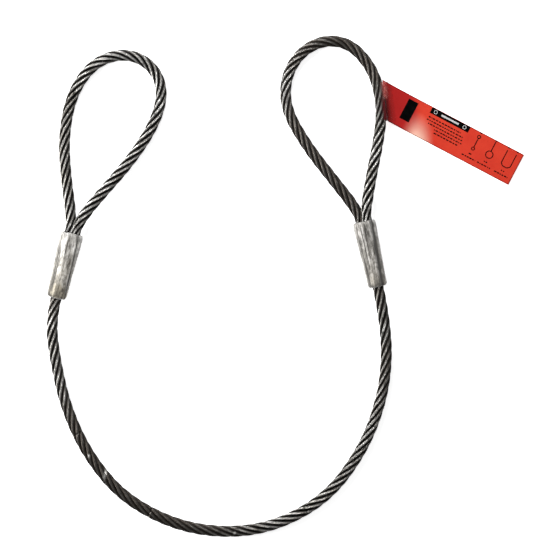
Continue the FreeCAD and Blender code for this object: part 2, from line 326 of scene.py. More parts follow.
def rope_material():
    """Drawn steel wire, rubbed bright on the crowns, with dark lubricant and painted shade in the valleys,
    and stretches darkened as old oil and painted shade.
    """
    made, tree, shader = new_material("oiled_wire", Metallic=0.92, Specular_Tint=(0.3, 0.3, 0.3, 1))
    crown = attribute(tree, "crown")
    wire = attribute(tree, "wire")
    grime = speckle(tree, scale=70, detail=5)
    fine = speckle(tree, scale=1400, detail=2)
    valley_oil_and_shade = (0.02, 0.018, 0.016)
    slope = (0.225, 0.22, 0.208)
    top = (0.92, 0.91, 0.885)
    # colour by nearness to the rope's outside: crowns rubbed bright, the valleys between the strands near
    # black with lubricant and painted shade
    rubbed_and_shaded = ramp(tree, crown, {0.0: 0.004, 0.6: valley_oil_and_shade, 0.82: slope, 1.0: top})
    patches = ramp(tree, grime, {0.3: (0.41, 0.385, 0.35), 0.65: 1.0})
    specks = ramp(tree, speckle(tree, scale=420, detail=3), {0.38: 0.45, 0.52: 1.0})
    # painted shade: stretches of rope darkened to the colour of old oil, as old oil and as painted shade
    oil_and_shade = ramp(tree, attribute(tree, "oil_and_shade_share"), {0.0: 0.0, 0.9: 0.78})
    shades = ramp(tree, wire, {0.0: 0.55, 1.0: 1.0})
    colour = darkened(tree, rubbed_and_shaded, patches)
    colour = darkened(tree, colour, specks)
    colour = darkened(tree, colour, shades)
    colour = covered(tree, colour, OIL_AND_SHADE_COLOUR, oil_and_shade)
    colour = covered(tree, colour, BARE_STEEL, attribute(tree, "nick"))
    tree.links.new(colour, shader.inputs["Base Color"])
    tree.links.new(ramp(tree, crown, {0.3: 0.55, 1.0: 0.27}), shader.inputs["Roughness"])
    bump(tree, shader, fine, strength=0.25, distance=0.05 * MM)
    return made


def core_material():
    """The core's wires, soaked in lubricant and never rubbed."""
    made, tree, shader = new_material("core_wire", Metallic=0.9, Roughness=0.5)
    grime = speckle(tree, scale=300)
    colour = ramp(tree, grime, {0.3: 0.006, 0.7: (0.05, 0.047, 0.042)})
    tree.links.new(colour, shader.inputs["Base Color"])
    bump(tree, shader, grime, strength=0.3, distance=0.1 * MM)
    return made


def pressed_wire_material():
    """The strands inside a sleeve, dark with lubricant and dull where the press has flattened them."""
    made, tree, shader = new_material("pressed_wire", Metallic=0.9)
    streaks = speckle(tree, scale=700)
    colour = ramp(tree, streaks, {0.35: 0.01, 0.7: (0.09, 0.086, 0.078)})
    tree.links.new(colour, shader.inputs["Base Color"])
    tree.links.new(ramp(tree, streaks, {0.3: 0.6, 0.7: 0.4}), shader.inputs["Roughness"])
    bump(tree, shader, streaks, strength=0.4, distance=0.1 * MM)
    return made


def worn_steel(tree, drag, pits, scuffs):
    """Bright steel, darker in its smears, scuffs, drag marks, lines and pits."""
    lines = speckle(tree, scale=420, detail=2, squeeze=(1, 1, 0.04))
    smears = speckle(tree, scale=260, detail=5, squeeze=(1, 1, 0.22))
    dark, mid, bright = (0.36, 0.35, 0.33), (0.65, 0.64, 0.62), (0.88, 0.87, 0.85)
    colour = ramp(tree, smears, {0.38: dark, 0.5: mid, 0.6: bright})
    colour = darkened(tree, colour, ramp(tree, scuffs, {0.42: (0.36, 0.35, 0.34), 0.55: 1.0}), 0.8)
    colour = darkened(tree, colour, ramp(tree, drag, {0.38: (0.40, 0.38, 0.34), 0.5: 1.0}), 0.8)
    colour = darkened(tree, colour, ramp(tree, lines, {0.38: (0.25, 0.24, 0.21), 0.47: 1.0}), 0.8)
    return darkened(tree, colour, ramp(tree, pits, {0.38: (0.30, 0.29, 0.27), 0.52: 1.0}), 0.7)


def sleeve_material():
    """Pressed steel with drag marks along it, darker in its grooves, with oil stains by the rope's end, and
    painted shade on the right sleeve.
    """
    made, tree, shader = new_material(
        "pressed_steel", Metallic=0.22, Sheen_Weight=1.0, Sheen_Roughness=0.35
    )
    drag = speckle(tree, scale=700, detail=6, roughness=0.7, squeeze=(1, 1, 0.05))
    pits = speckle(tree, scale=420, detail=4, squeeze=(1, 1, 0.5))
    scuffs = speckle(tree, scale=260, detail=5, roughness=0.75, squeeze=(1, 1, 0.4))
    blotches = speckle(tree, scale=110, squeeze=(1, 1, 0.6))
    colour = worn_steel(tree, drag, pits, scuffs)
    # painted shade: a share of the sleeve's colour darkened, more on the right sleeve than on the left
    colour = covered(tree, colour, darkened(tree, colour, SLEEVE_SHADE_TINT), attribute(tree, "sleeve_shade"))
    spread = {0: attribute(tree, "stain"), 1: blotches}
    stain = add(tree, "ShaderNodeMath", spread, operation="MULTIPLY").outputs["Value"]
    stain = ramp(tree, stain, {0.1: 0.0, 0.5: 1.0})
    colour = covered(tree, colour, darkened(tree, colour, BROWN_STAIN), stain)
    # darker in the groove and the scores
    groove_dark_share = ramp(tree, attribute(tree, "groove"), {0.15: 0.0, 0.7: 0.95})
    colour = covered(tree, colour, GROOVE_DARK, groove_dark_share)
    tree.links.new(colour, shader.inputs["Base Color"])
    tree.links.new(ramp(tree, scuffs, {0.4: 0.75, 0.6: 0.46}), shader.inputs["Roughness"])
    bump(tree, shader, covered(tree, drag, pits, 0.5), strength=0.9, distance=0.25 * MM)
    return made


def tag_material():
    """Red print under clear laminate, with painted shade near the rope and a painted pale glare further
    along.
    """
    made, tree, shader = new_material(
        "laminated_red", Roughness=0.42, Specular_IOR_Level=0.2, Coat_Weight=0.35, Coat_Roughness=0.16
    )
    tone = speckle(tree, scale=40, detail=3)
    fine = speckle(tree, scale=900, detail=2)
    red = ramp(tree, tone, {0.35: (0.49, 0.024, 0.009), 0.65: (0.55, 0.034, 0.013)})
    # painted shade: darker red where the strip slopes down from the rope
    colour = covered(tree, red, darkened(tree, red, SLOPE_SHADE_TINT), attribute(tree, "slope_shade"))
    # painted highlight: a pale glare on the strip beside the ridge
    haze_and_glare = ramp(tree, attribute(tree, "painted_glare"), {0.05: 0.0, 0.9: 0.9})
    colour = covered(tree, colour, GLARE_TINT, haze_and_glare)
    tree.links.new(colour, shader.inputs["Base Color"])
    bump(tree, shader, fine, strength=0.08, distance=0.03 * MM)
    return made


def ink_material(name, dark, light, grain):
    """Printing ink, a little uneven in its strength."""
    made, tree, shader = new_material(name, Roughness=0.5, Specular_IOR_Level=0.01)
    worn = speckle(tree, scale=grain)
    tree.links.new(ramp(tree, worn, {0.3: dark, 0.7: light}), shader.inputs["Base Color"])
    return made


def film_material():
    """Clear laminate film, milky only where it is creased, with a dark red smear of painted shade on the
    rope.
    """
    made, tree, shader = new_material("clear_film", Roughness=0.12, Specular_IOR_Level=0.3)
    wrinkles = speckle(tree, scale=220)
    haze_and_glare = attribute(tree, "haze_and_glare")
    shade_smear = attribute(tree, "shade_smear")
    pink = ramp(tree, wrinkles, {0.35: (0.62, 0.08, 0.07), 0.6: (0.82, 0.25, 0.22)})
    colour = covered(tree, CLEAR_FILM, pink, haze_and_glare)
    # painted shade: a dark red smear over the rope's side under the film
    colour = covered(tree, colour, RED_SHADE_SMEAR, shade_smear)
    tree.links.new(colour, shader.inputs["Base Color"])
    hazy = ramp(tree, haze_and_glare, {0.0: 0.05, 1.0: 0.5})
    shade_smeared = ramp(tree, shade_smear, {0.0: 0.0, 1.0: 0.65})
    tree.links.new(mixed(tree, "ADD", hazy, shade_smeared, 1.0), shader.inputs["Alpha"])
    bump(tree, shader, wrinkles, strength=0.3, distance=0.2 * MM)
    made.surface_render_method = "BLENDED"
    return made


# ---------------------------------------------------------------- building meshes


def new_piece(name, vertices, faces, material, smooth=True):
    mesh = bpy.data.meshes.new(name)
    mesh.from_pydata(vertices, [], faces)
    mesh.materials.append(material)
    if smooth:
        mesh.shade_smooth()
    made = bpy.data.objects.new(name, mesh)
    bpy.context.scene.collection.objects.link(made)
    return made


def give_points(piece, name, values):
    """A number at each vertex, for a material to read."""
    made = piece.data.attributes.new(name, "FLOAT", "POINT")
    made.data.foreach_set("value", np.asarray(values, np.float32).ravel())


def tube_faces(ring_count, corner_count, first):
    """Quads between closed rings of vertices and a face over each end, facing out."""
    ring = np.arange(ring_count - 1)[:, None] * corner_count
    corner = np.arange(corner_count)[None, :]
    following = (corner + 1) % corner_count
    quads = np.stack(
        [ring + corner, ring + following, ring + corner_count + following, ring + corner_count + corner],
        axis=-1,
    )
    faces = (quads.reshape(-1, 4) + first).tolist()
    last = first + (ring_count - 1) * corner_count
    faces.append(list(range(first + corner_count - 1, first - 1, -1)))
    faces.append(list(range(last, last + corner_count)))
    return faces


def unit(vectors):
    return vectors / np.linalg.norm(vectors, axis=-1, keepdims=True)


def clamped(value):
    return min(1, max(0, value))


def eased(share):
    """A share from 0 to 1 that starts and ends gently."""
    return share * share * (3 - 2 * share)


def bell(offset, half_width):
    """1 at no offset, and less on both sides of it."""
    return math.exp(-((offset / half_width) ** 2))


# ---------------------------------------------------------------- the rope

STRAND_COUNT = 6
STRAND_RADIUS = 1.55 * MM
STRAND_CIRCLE = ROPE_RADIUS - STRAND_RADIUS
OUTER_WIRES = 12
POINTS_PER_WIRE = 4
ROPE_LAY = 60 * MM
WIRE_LAY = 19 * MM
CORE_RADIUS = 1.72 * MM
CORE_STRANDS = 6
CORE_POINTS = 5
CORE_LAY = 32 * MM
RING_STEP = 1.25 * MM
SLEEVE_REACH = 4 * MM
ROUTE_RESOLUTION = 40
SHADES_SEED = 7

# stretches of rope darkened to the colour of old oil, as old oil and as painted shade: (start, end) along
# each rope
OIL_AND_SHADE_STRETCHES = {
    "body": ((-30 * MM, 6 * MM), (95 * MM, 275 * MM), (475 * MM, 500 * MM), (551 * MM, 590 * MM)),
    "left_eye": (),
    "right_eye": ((0, 120 * MM), (163 * MM, 266 * MM)),
}
OIL_AND_SHADE_FADE = 12 * MM

# pale nicks on top of the rope: (x, y, half length, half width), all scraped the same way
NICKS = (
    (-149.5 * MM, -157.2 * MM, 3.1 * MM, 0.85 * MM),
    (-162.7 * MM, -141.4 * MM, 1.0 * MM, 0.7 * MM),
    (-42.4 * MM, -205.4 * MM, 1.1 * MM, 0.5 * MM),
)
SCRAPE = np.array((0.2, 0.98))


def route_line(route):
    """Points of the smooth line that has the route's points as its control points."""
    curve = bpy.data.curves.new("route", "CURVE")
    curve.dimensions = "3D"
    curve.resolution_u = ROUTE_RESOLUTION
    spline = curve.splines.new("NURBS")
    spline.points.add(len(route) - 1)
    for point, corner in zip(spline.points, route):
        point.co = (*corner, 1)
    spline.order_u = 3
    spline.use_endpoint_u = True
    holder = bpy.data.objects.new("route", curve)
    mesh = bpy.data.meshes.new_from_object(holder)
    line = np.array([vertex.co for vertex in mesh.vertices])
    bpy.data.objects.remove(holder)
    bpy.data.curves.remove(curve)
    bpy.data.meshes.remove(mesh)
    return line


class Rope:
    """A rope's centre line in even steps, with how far along each is and the directions across it."""

    def __init__(self, name, route):
        line = route_line(route)
        first = line[0] - unit(line[1] - line[0]) * SLEEVE_REACH
        last = line[-1] + unit(line[-1] - line[-2]) * SLEEVE_REACH
        line = np.vstack([first, line, last])
        walked = np.append(0, np.cumsum(np.linalg.norm(np.diff(line, axis=0), axis=1)))
        count = round(walked[-1] / RING_STEP)
        self.along = np.linspace(0, walked[-1], count + 1)
        self.points = np.column_stack([np.interp(self.along, walked, line[:, axis]) for axis in range(3)])
        self.heading = unit(np.gradient(self.points, axis=0))
        self.side = unit(np.cross(self.heading, UP))
        self.over = np.cross(self.side, self.heading)
        # how far each step is darkened with old oil and painted shade
        self.oil_and_shade = np.zeros(count + 1)
        for start, end in OIL_AND_SHADE_STRETCHES[name]:
            inside = np.minimum(self.along - start, end - self.along)
            self.oil_and_shade = np.maximum(self.oil_and_shade, 1 / (1 + np.exp(-inside / OIL_AND_SHADE_FADE)))

    def nearest(self, point):
        """The number of the step nearest to a point."""
        return int(np.argmin(np.linalg.norm(self.points - np.array(point), axis=1)))


def lobe_radii(outer_radius, lobe_count, points_per_lobe):
    """The outline of equal round wires laid side by side in a ring, as radii at even angles."""
    wire_share = math.sin(math.pi / lobe_count)
    circle = outer_radius / (1 + wire_share)
    wire = outer_radius - circle
    off = (np.arange(points_per_lobe) / points_per_lobe + 0.5) % 1 - 0.5
    angle = off * 2 * math.pi / lobe_count
    reach = wire**2 - (circle * np.sin(angle)) ** 2
    radii = circle * np.cos(angle) + np.sqrt(np.clip(reach, 0, None))
    return np.tile(radii, lobe_count)


def laid_rings(rope, first, last, circle, start, lay, radii, lobe_lay):
    """Rings of one strand that is laid round the rope's centre line, its own wires laid the other way."""
    stretch = slice(first, last + 1)
    along = rope.along[stretch]
    turn = 2 * math.pi * (start + along / lay)
    outward = np.cos(turn)[:, None] * rope.over[stretch] + np.sin(turn)[:, None] * rope.side[stretch]
    centre = rope.points[stretch] + circle * outward
    heading = unit(np.gradient(centre, axis=0))
    outward = unit(outward - np.sum(outward * heading, axis=1, keepdims=True) * heading)
    around = np.cross(heading, outward)
    corners = np.arange(len(radii)) / len(radii)
    turn = 2 * math.pi * (corners[None, :] - along[:, None] / lobe_lay)
    across = np.cos(turn)[..., None] * outward[:, None, :] + np.sin(turn)[..., None] * around[:, None, :]
    return centre[:, None, :] + radii[None, :, None] * across


def nicked(points):
    """How much each point is inside one of the nicks, from 0 to 1."""
    most = np.zeros(len(points))
    for x, y, half_length, half_width in NICKS:
        offset = points[:, :2] - (x, y)
        along = offset @ SCRAPE
        across = offset @ (SCRAPE[1], -SCRAPE[0])
        most = np.maximum(most, np.exp(-((along / half_length) ** 2) - (across / half_width) ** 2))
    return most * (points[:, 2] > ROPE_RADIUS)


def strand_layer(name, rope, first, last):
    """Six strands as one piece, with how near each point is to the rope's outside."""
    radii = lobe_radii(STRAND_RADIUS, OUTER_WIRES, POINTS_PER_WIRE)
    shades = np.random.default_rng(SHADES_SEED).uniform(0, 1, (STRAND_COUNT, OUTER_WIRES))
    axis = rope.points[first : last + 1]
    vertices, faces, crowns, wires, oil_and_shade_points = [], [], [], [], []
    for strand in range(STRAND_COUNT):
        start = strand / STRAND_COUNT
        rings = laid_rings(rope, first, last, STRAND_CIRCLE, start, ROPE_LAY, radii, WIRE_LAY)
        faces += tube_faces(rings.shape[0], rings.shape[1], len(vertices) * rings[..., 0].size)
        distance = np.linalg.norm(rings - axis[:, None, :], axis=2)
        crowns.append((distance - STRAND_CIRCLE) / STRAND_RADIUS)
        wires.append(np.tile(np.repeat(shades[strand], POINTS_PER_WIRE), (rings.shape[0], 1)))
        oil_and_shade_points.append(np.tile(rope.oil_and_shade[first : last + 1, None], (1, len(radii))))
        vertices.append(rings.reshape(-1, 3))
    piece = new_piece(name, np.vstack(vertices), faces, materials["rope"])
    give_points(piece, "crown", np.clip(np.array(crowns), 0, 1))
    give_points(piece, "wire", np.array(wires))
    give_points(piece, "oil_and_shade_share", np.array(oil_and_shade_points))
    give_points(piece, "nick", nicked(np.vstack(vertices)))
    return piece


def core_rope(name, rope, first, last):
    """The core, a small rope in the middle that shows between the strands."""
    radii = lobe_radii(CORE_RADIUS, CORE_STRANDS, CORE_POINTS)
    rings = laid_rings(
        rope, first, last, circle=0, start=0, lay=ROPE_LAY, radii=radii, lobe_lay=CORE_LAY
    )
    faces = tube_faces(rings.shape[0], rings.shape[1], 0)
    piece = new_piece(name, rings.reshape(-1, 3), faces, materials["core"])
    return piece


def rope_piece(name, rope, first, last, stretches):
    """The strands and the core between two steps of a rope, in place of the part's own stretches."""
    strands = strand_layer(f"{name}_rope", rope, first, last)
    core = core_rope(f"{name}_rope_core", rope, first, last)
    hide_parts(*(f"{stretch}_strands" for stretch in stretches))
    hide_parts(*(f"{stretch}_core" for stretch in stretches))
    return strands, core


def bend(pieces):
    """Bakes each piece's place into its mesh."""
    for piece in pieces:
        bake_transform(piece)


def run_middle(run):
    """The middle of one run of the body's route, which the smooth line passes through."""
    return np.mean([BODY_ROUTE[run], BODY_ROUTE[run + 1]], axis=0)


def body_rope():
    """The rope between the sleeves, in five pieces."""
    rope = Rope("body", BODY_ROUTE)
    pieces = {}
    for name, (first_run, last_run, stretches) in BODY_PIECES.items():
        first = 0 if first_run is None else rope.nearest(run_middle(first_run))
        last = len(rope.points) - 1 if last_run is None else rope.nearest(run_middle(last_run))
        pieces[name] = rope_piece(name, rope, first, last, stretches)
    for piece in pieces["bight"]:
        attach(piece, "bight")
    first_run, last_run = BODY_PIECES["left_knee"][:2]
    bend(pieces["left_knee"])
    first_run, last_run = BODY_PIECES["right_knee"][:2]
    bend(pieces["right_knee"])
    for side, mouth in (("left", BODY_ROUTE[0]), ("right", BODY_ROUTE[-1])):
        bend(pieces[f"{side}_leg"])


# ---------------------------------------------------------------- the sleeves' places

SLEEVE_LENGTH = 55.5 * MM
SLEEVE_FIT = 0.1 * MM
ROPE_END_RADIUS = 8.1 * MM
EYE_END_RADIUS = 9.7 * MM


def sleeve_ends(side):
    """Where a sleeve's rope end is, and the direction to its eye end."""
    mouth, before = (BODY_ROUTE[0], BODY_ROUTE[1]) if side == "left" else (BODY_ROUTE[-1], BODY_ROUTE[-2])
    axis = (Vector(mouth) - Vector(before)).normalized()
    return Vector(mouth) + axis * SLEEVE_FIT, axis


def sleeve_place(side):
    """The sleeve's own frame: Z along it towards the eye, X to its left and Y up."""
    foot, axis = sleeve_ends(side)
    turned = Matrix((UP.cross(axis), UP, axis)).transposed().to_4x4()
    return Matrix.Translation(foot) @ turned


# ---------------------------------------------------------------- the eyes

PRESSED_SHARE = 0.85
PRESS_REACH = 15 * MM


def press_together(piece, side):
    """Squeezes an eye's two legs to the size of the sleeve's mouth, where they go into it."""
    foot, axis = (np.array(vector) for vector in sleeve_ends(side))
    count = len(piece.data.vertices)
    places = np.empty(count * 3)
    piece.data.vertices.foreach_get("co", places)
    places = places.reshape(-1, 3)
    height = (places - foot) @ axis - SLEEVE_LENGTH
    share = eased(np.clip(height / PRESS_REACH, 0, 1))
    scale = PRESSED_SHARE + (1 - PRESSED_SHARE) * share
    on_axis = foot + ((places - foot) @ axis)[:, None] * axis
    piece.data.vertices.foreach_set("co", (on_axis + (places - on_axis) * scale[:, None]).ravel())


def eye_rope(side):
    """The rope of one eye, squeezed together where it goes into the mouth of its sleeve."""
    rope = Rope(f"{side}_eye", EYE_ROUTES[side])
    stretches = [f"{side}_eye_loop", f"{side}_eye_throat"]
    pieces = rope_piece(f"{side}_eye", rope, 0, len(rope.points) - 1, stretches)
    for piece in pieces:
        press_together(piece, side)
    bend(pieces)


# ---------------------------------------------------------------- the sleeves

SLEEVE_CORNERS = 176
SLEEVE_STEPS = 84
SLEEVE_SEEDS = {"left": 3.7, "right": 8.1}

# how far the rounding at each end goes: (along the sleeve, in from its outside)
ROPE_END_EDGE = (3.2 * MM, 2.3 * MM)
EYE_END_EDGE = (4.6 * MM, 1.6 * MM)
EDGE_STEPS = 9

# the inside of each end: (distance from the end's face, radius), each in the order of the outline
BORE_RADIUS = 4.5 * MM
BORE = ((5 * MM, BORE_RADIUS), (0.5 * MM, BORE_RADIUS), (0, BORE_RADIUS + 0.5 * MM))
MOUTH = ((0.3 * MM, 8.0 * MM), (1.2 * MM, 7.7 * MM), (5 * MM, 7.4 * MM))

# the ridge that the press leaves on each side, and the groove beside it. FLASH_ANGLE is in degrees, at the
# rope's end and at the eye's end
FLASH_ANGLE = {"left": (138, 120), "right": (98, 115)}
FLASH_HEIGHT = 0.35 * MM
FLASH_HALF_WIDTH = 0.6 * MM
FLASH_WANDER = 0.25 * MM
FLASH_WINDING = 9 * MM
GROOVE_OFFSET = {"left": 1.7 * MM, "right": 3.3 * MM}
GROOVE_DEPTH = {"left": 0.5 * MM, "right": 1.0 * MM}
GROOVE_HALF_WIDTH = {"left": 0.6 * MM, "right": 1.8 * MM}

# dents all over the outside: (width, length, depth)
LONG_DENTS = (5 * MM, 16 * MM, 0.3 * MM)
SMALL_DENTS = (1.923 * MM, 5 * MM, 0.18 * MM)

# lines that the press has left along each sleeve: (from mm, to mm, angle, height mm), a score if under 0
PRESS_LINES = {
    "left": ((6, 28, 43, 0.3), (3, 40, 55, -0.3), (35, 50, 84, -0.4)),
    "right": ((14, 52, 66, -0.25), (22, 46, 82, -0.25)),
}
LINE_HALF_WIDTH = 0.5 * MM
LINE_FADE = 3 * MM

# how uneven the two ends are, how finely, and how far along the sleeve that goes
MOUTH_WANDER = 1.12 * MM
FOOT_WANDER = 0.7 * MM
LIP_GRAIN = 1.3
LIP_REACH = 4 * MM

# oil stains, strongest at the rope's end, and painted shade that darkens the right sleeve
STAIN_AT_FOOT = {"left": 1.0, "right": 0.6}
STAIN_FADE = 0.8
SLEEVE_SHADE_SHARE = {"left": 0.0, "right": 0.65}


def quarter(step, radius, edge):
    """(distance from the end's face, radius) on a rounded edge, from the side (step 0) to the face."""
    angle = math.pi / 2 * step / EDGE_STEPS
    reach, depth = edge
    return reach * (1 - math.sin(angle)), radius - depth * (1 - math.cos(angle))


def sleeve_outline():
    """(height, radius) from inside the rope's end, over the outside, to inside the eye's end."""
    steps = range(EDGE_STEPS + 1)
    low_edge = [quarter(EDGE_STEPS - step, ROPE_END_RADIUS, ROPE_END_EDGE) for step in steps]
    high_edge = [quarter(step, EYE_END_RADIUS, EYE_END_EDGE) for step in steps]
    straight = SLEEVE_LENGTH - ROPE_END_EDGE[0] - EYE_END_EDGE[0]
    side = []
    for step in range(1, SLEEVE_STEPS):
        share = step / SLEEVE_STEPS
        radius = ROPE_END_RADIUS + (EYE_END_RADIUS - ROPE_END_RADIUS) * share
        side.append((ROPE_END_EDGE[0] + straight * share, radius))
    eye_end = [(SLEEVE_LENGTH - depth, radius) for depth, radius in (*high_edge, *MOUTH)]
    return [*BORE, *low_edge, *side, *eye_end]


def flash_offset(side, angle, height, radius):
    """How far round the outside a point is from the nearer flash ridge, which winds a little."""
    low_angle, high_angle = FLASH_ANGLE[side]
    turn = math.radians(low_angle + (high_angle - low_angle) * height / SLEEVE_LENGTH)
    offset = ((angle - turn + math.pi / 2) % math.pi - math.pi / 2) * radius
    return offset - FLASH_WANDER * noise.noise(Vector((height / FLASH_WINDING, SLEEVE_SEEDS[side], 0)))


def press_line(line, angle, height, radius):
    """How much of a pressed line there is at a point of the outside, from 0 to 1."""
    start, end, middle, _ = line
    inside = min(height - start * MM, end * MM - height)
    return clamped(inside / LINE_FADE) * bell((angle - math.radians(middle)) * radius, LINE_HALF_WIDTH)


def dents(size, angle, height, radius, origin):
    """How far one size of dents raises or lowers a point of the outside."""
    width, length, depth = size
    place = Vector((math.cos(angle) * radius / width, math.sin(angle) * radius / width, height / length))
    return depth * noise.noise(place + Vector(origin))


def press_marks(side, offset, angle, height, radius):
    """How far the outside stands off its plain cone: flash ridges, grooves, pressed lines and dents."""
    seed = SLEEVE_SEEDS[side]
    marks = FLASH_HEIGHT * bell(offset, FLASH_HALF_WIDTH)
    marks -= GROOVE_DEPTH[side] * bell(offset - GROOVE_OFFSET[side], GROOVE_HALF_WIDTH[side])
    for line in PRESS_LINES[side]:
        marks += line[-1] * MM * press_line(line, angle, height, radius)
    marks += dents(LONG_DENTS, angle, height, radius, (seed, 0, 0))
    return marks + dents(SMALL_DENTS, angle, height, radius, (0, seed, 0))


def groove_darkness_at(side, offset, angle, height, radius):
    """How deep a point is in the groove or in one of the scores, from 0 to 1."""
    scores = [press_line(line, angle, height, radius) for line in PRESS_LINES[side] if line[-1] < 0]
    return max(bell(offset - GROOVE_OFFSET[side], GROOVE_HALF_WIDTH[side]), *scores)


def sleeve(side):
    """A tapered tube that a press has closed on the splice, its ends a little uneven."""
    seed = SLEEVE_SEEDS[side]
    outline = sleeve_outline()
    vertices, stains, grooves = [], [], []
    for height, radius in outline:
        outside = clamped((radius - BORE_RADIUS) / (ROPE_END_RADIUS - BORE_RADIUS))
        at_mouth = max(0, 1 - (SLEEVE_LENGTH - height) / LIP_REACH)
        at_foot = max(0, 1 - height / LIP_REACH) * outside
        for corner in range(SLEEVE_CORNERS):
            angle = 2 * math.pi * corner / SLEEVE_CORNERS
            ring = Vector((math.cos(angle), math.sin(angle), 0))
            lip = abs(noise.noise(ring * LIP_GRAIN + Vector((seed, seed, 0))))
            offset = flash_offset(side, angle, height, radius)
            raised = ring * (radius + press_marks(side, offset, angle, height, radius) * outside)
            raised.z = height - lip * (MOUTH_WANDER * at_mouth - FOOT_WANDER * at_foot)
            vertices.append(raised)
            stains.append(STAIN_AT_FOOT[side] * (1 - STAIN_FADE * height / SLEEVE_LENGTH))
            grooves.append(groove_darkness_at(side, offset, angle, height, radius) * outside)
    faces = tube_faces(len(outline), SLEEVE_CORNERS, 0)
    piece = new_piece(f"{side}_pressed_sleeve", vertices, faces, materials["sleeve"])
    give_points(piece, "stain", stains)
    give_points(piece, "groove", grooves)
    give_points(piece, "sleeve_shade", [SLEEVE_SHADE_SHARE[side]] * len(vertices))
    piece.matrix_world = sleeve_place(side)
    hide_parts(f"{side}_sleeve")
    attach(piece, f"{side}_sleeve_end")


def splice_inside(side):
    """The part's own pieces inside the sleeve keep their shape and get their material."""
    for name in ("live_line_strands", "splice_tails"):
        paint_node(f"{side}_{name}", materials["pressed_wire"])
    paint_node(f"{side}_live_line_core", materials["core"])


def paint_node(name, material):
    mesh = frame["nodes"][name].data
    mesh.materials.clear()
    mesh.materials.append(material)


# ---------------------------------------------------------------- the tag

TAG_WIDTH = 28.3 * MM
TAG_LENGTH = 128 * MM
TAG_TURN = math.radians(-27.8)
TAG_THICKNESS = 0.5 * MM
TAG_ROWS = 100
TAG_COLUMNS = 24

# the corner that the tag is measured from, away from the rope's axis and along it
TAG_START = 9.2 * MM
TAG_CORNER = 13.1 * MM

# away from the rope's axis: the strip's end under the film, and where the strip has come down to the floor
STRIP_START = 4.95 * MM
TAG_LANDING = 36 * MM

# the strip's painted shade, a darker red stretch where it slopes down from the rope, away from the rope's
# axis
SLOPE_SHADE_END = 26 * MM
SLOPE_SHADE_FADE = 8 * MM

# a slight wave in the strip where it lies on the floor
WAVE_HEIGHT = 0.3 * MM
WAVE_ALONG = 17 * MM
WAVE_ACROSS = 30 * MM
WAVE_FADE = 30 * MM

# the ridge in the strip and a painted glare near it: both cross the strip and are strongest at its lower
# side
RIDGE_ALONG = 41 * MM
RIDGE_REACH = 7 * MM
RIDGE_HEIGHT = 1.2 * MM
GLARE_ALONG = 43 * MM
GLARE_REACH = 9 * MM
GLARE_LEAN = 0.3
GLARE_GATHER = 2.5

# the clear film round the rope: FILM_OPEN is half of the angle that it leaves open towards the strip
LOOP_RADIUS = 6.1 * MM
LOOP_TOP = 14 * MM
LOOP_LENGTH = 32 * MM
FILM_THICKNESS = 0.3 * MM
FILM_LAP = 2.5 * MM
FILM_OPEN = math.radians(42)
FILM_STEPS = 26
TAUT_POINTS = 8
TURN_POINTS = 48
RIPPLE_HEIGHT = 0.12 * MM
RIPPLE_SIZE = 5 * MM

# the film's haze, on its upper part, and below it a dark red smear of painted shade: AWAY is from the
# rope's axis
HAZE_END = -2 * MM
HAZE_FADE = 4 * MM
HAZE_AWAY = 5.6 * MM
HAZE_REACH = 2.3 * MM
SHADE_SMEAR_AWAY = 3.4 * MM
SHADE_SMEAR_REACH = 2.0 * MM

loop_middle = Vector(joints["tag_swivel"]["pos_m"])
rope_along = -Vector(joints["tag_swivel"]["axis"])
rope_away = rope_along.cross(UP)
tag_along = Vector((math.cos(TAG_TURN), math.sin(TAG_TURN), 0))
tag_across = tag_along.cross(UP)
tag_corner = loop_middle + rope_away * TAG_START + rope_along * TAG_CORNER


def tag_fall(away):
    """How far under the loop's axis the tag is, at a distance from it."""
    left_to_fall = max(0, 1 - away / TAG_LANDING)
    return loop_middle.z * (1 - left_to_fall**2)


def on_tag(along, across, lift=0.0):
    """A point on the tag's printed face, from its corner by the rope, along it and across it."""
    point = tag_corner + tag_along * along + tag_across * across
    away = (point - loop_middle).dot(rope_away)
    wave = WAVE_HEIGHT * (1 + math.sin(along / WAVE_ALONG + across / WAVE_ACROSS))
    landed = clamped((away - TAG_LANDING) / WAVE_FADE)
    ridge = RIDGE_HEIGHT * bell(along - RIDGE_ALONG, RIDGE_REACH) * (across / TAG_WIDTH) ** 2
    point.z = loop_middle.z - tag_fall(away) + TAG_THICKNESS + lift + wave * landed + ridge
    return point


def near_end(across):
    """Where the tag's slanting near end is, along the tag."""
    point = tag_corner + tag_across * across
    away = (point - loop_middle).dot(rope_away)
    return (STRIP_START - away) / tag_along.dot(rope_away)


def grid_faces(rows, columns):
    """Quads between rows of vertices."""
    faces = []
    for row in range(rows - 1):
        for column in range(columns - 1):
            corner = row * columns + column
            faces.append((corner, corner + 1, corner + columns + 1, corner + columns))
    return faces


def tag_panel():
    """The strip, as a sheet that curves down from the rope and lies on the floor."""
    vertices, slope_shade, painted_glare = [], [], []
    for row in range(TAG_ROWS):
        for column in range(TAG_COLUMNS):
            across = TAG_WIDTH * column / (TAG_COLUMNS - 1)
            start = near_end(across)
            along = start + (TAG_LENGTH - start) * row / (TAG_ROWS - 1)
            vertices.append(on_tag(along, across))
            away = (vertices[-1] - loop_middle).dot(rope_away)
            slope_shade.append(1 - eased(clamped((away - SLOPE_SHADE_END) / SLOPE_SHADE_FADE)))
            from_ridge = along - GLARE_ALONG + GLARE_LEAN * (TAG_WIDTH - across)
            painted_glare.append(bell(from_ridge, GLARE_REACH) * (across / TAG_WIDTH) ** GLARE_GATHER)
    piece = new_piece("tag_strip", vertices, grid_faces(TAG_ROWS, TAG_COLUMNS), materials["tag"])
    give_points(piece, "slope_shade", slope_shade)
    give_points(piece, "painted_glare", painted_glare)
    thicken(piece, TAG_THICKNESS)
    finish_tag_piece(piece, "tag_panel")


